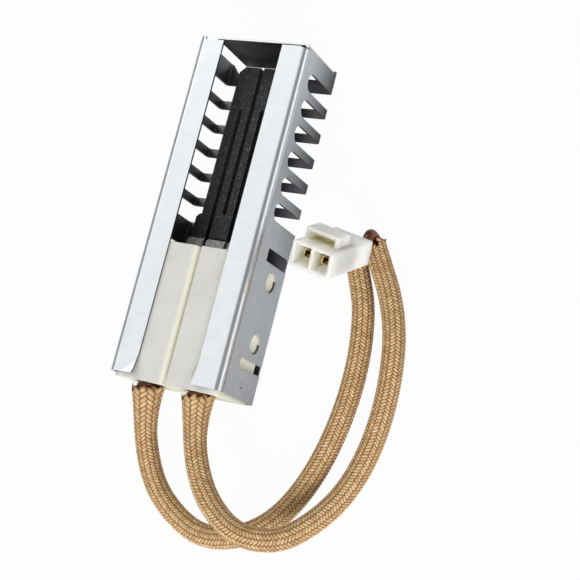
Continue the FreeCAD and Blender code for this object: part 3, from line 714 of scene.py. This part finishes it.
def smooth_bends(target):
    """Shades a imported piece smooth, but for its edges sharper than the bends' facets."""
    group = bpy.data.node_groups.get("smooth_bends")
    if group is None:
        group = bpy.data.node_groups.new("smooth_bends", "GeometryNodeTree")
        group.interface.new_socket("Geometry", in_out="INPUT", socket_type="NodeSocketGeometry")
        group.interface.new_socket("Geometry", in_out="OUTPUT", socket_type="NodeSocketGeometry")
        start = group.nodes.new("NodeGroupInput")
        end = group.nodes.new("NodeGroupOutput")
        faces = group.nodes.new("GeometryNodeSetShadeSmooth")
        edges = group.nodes.new("GeometryNodeSetShadeSmooth")
        edges.domain = "EDGE"
        edges.inputs["Shade Smooth"].default_value = False
        angle = group.nodes.new("GeometryNodeInputMeshEdgeAngle")
        sharp = group.nodes.new("FunctionNodeCompare")
        sharp.data_type = "FLOAT"
        sharp.operation = "GREATER_THAN"
        sharp.inputs[1].default_value = math.radians(SHARP_ANGLE)
        link = group.links.new
        welded = group.nodes.new("GeometryNodeMergeByDistance")
        welded.inputs["Distance"].default_value = WELD_DISTANCE * MM
        plain = group.nodes.new("GeometryNodeRemoveAttribute")
        plain.inputs["Name"].default_value = "custom_normal"
        link(start.outputs[0], welded.inputs["Geometry"])
        link(welded.outputs[0], plain.inputs["Geometry"])
        link(plain.outputs[0], faces.inputs["Geometry"])
        link(faces.outputs[0], edges.inputs["Geometry"])
        link(angle.outputs["Unsigned Angle"], sharp.inputs[0])
        link(sharp.outputs[0], edges.inputs["Selection"])
        link(edges.outputs[0], end.inputs[0])
    modifier = target.modifiers.new("smooth_bends", "NODES")
    modifier.node_group = group
    weighted = target.modifiers.new("weighted_normals", "WEIGHTED_NORMAL")
    weighted.keep_sharp = True


DRESS = {
    "cage": CAGE, "insulator_block": CERAMIC, "heating_element": CARBIDE,
    "element_cement": CEMENT, "foot_terminal_left": BRASS, "foot_terminal_right": BRASS,
    "exit_wire_left": VARNISH, "exit_wire_right": VARNISH,
    "plug_wire_left": VARNISH, "plug_wire_right": VARNISH, "plug_housing": PLASTIC,
    "plug_terminal_left": BRASS, "plug_terminal_right": BRASS,
}
for node_name, dress in DRESS.items():
    packed = NODES[node_name]
    for slot in packed.material_slots:
        slot.material = dress
    smooth_bends(packed)

# Floor, light and world, in metres and watts

FLOOR_HALF = 3.0
FLOOR_DROP = 0.0002
FLOOR_COLOUR = (0.66, 0.66, 0.66, 1)
FLOOR_WHITE = 0.96
WORLD_LEVEL = 0.15
LAMP_AIM = (0, 0, 0.01)

# Each lamp's direction from the part, distance, size and power
LAMPS = {
    "key": ((-0.45, 0.15, 0.88), 1.5, (2.2, 1.7), 11.6),
    "top": ((-0.43, 0.66, 0.6), 1.5, (1.6, 0.6), 5),
    "fill": ((0.35, -0.8, 0.5), 1.3, (0.9, 0.6), 17),
    "side": ((0.9, 0.15, 0.35), 1.0, (1.4, 0.2), 3),
}


def add_floor():
    """Pale floor that reads white to the camera and keeps a faint shadow."""
    corners = [(-1, -1), (1, -1), (1, 1), (-1, 1)]
    mesh = bpy.data.meshes.new("floor")
    vertices = [(x * FLOOR_HALF, y * FLOOR_HALF, 0) for x, y in corners]
    mesh.from_pydata(vertices, [], [(0, 1, 2, 3)])
    floor = bpy.data.objects.new("floor", mesh)
    floor.location.z = -FLOOR_DROP
    SCENE.collection.objects.link(floor)
    material = bpy.data.materials.new("floor")
    material.use_nodes = True
    tree = material.node_tree
    tree.nodes.clear()
    path = node(tree, "ShaderNodeLightPath")
    share = math_node(tree, "MULTIPLY", path.outputs["Is Camera Ray"], FLOOR_WHITE)
    diffuse = node(tree, "ShaderNodeBsdfDiffuse", {"Color": FLOOR_COLOUR})
    white = node(tree, "ShaderNodeEmission")
    mix = node(tree, "ShaderNodeMixShader", {0: share, 1: diffuse.outputs[0], 2: white.outputs[0]})
    node(tree, "ShaderNodeOutputMaterial", {"Surface": mix.outputs[0]})
    mesh.materials.append(material)


def add_lamp(name, direction, distance, size, power):
    """Soft rectangular lamp at a direction from the part, facing it."""
    data = bpy.data.lights.new(name, "AREA")
    data.shape = "RECTANGLE"
    data.size, data.size_y = size
    data.energy = power
    lamp = bpy.data.objects.new(name, data)
    way = Vector(direction).normalized()
    lamp.location = Vector(LAMP_AIM) + way * distance
    lamp.rotation_euler = way.to_track_quat("Z", "Y").to_euler()
    SCENE.collection.objects.link(lamp)


def add_world():
    """Even grey surroundings that the camera itself sees as white."""
    world = bpy.data.worlds.new("world")
    SCENE.world = world
    world.use_nodes = True
    tree = world.node_tree
    tree.nodes.clear()
    seen = node(tree, "ShaderNodeLightPath").outputs["Is Camera Ray"]
    level = math_node(tree, "MULTIPLY_ADD", seen, 1 - WORLD_LEVEL, WORLD_LEVEL)
    background = node(tree, "ShaderNodeBackground", {"Color": (1, 1, 1, 1), "Strength": level})
    node(tree, "ShaderNodeOutputWorld", {"Surface": background.outputs[0]})


add_floor()
add_world()
for lamp_name, lamp_values in LAMPS.items():
    add_lamp(lamp_name, *lamp_values)
SCENE.view_settings.view_transform = "Standard"
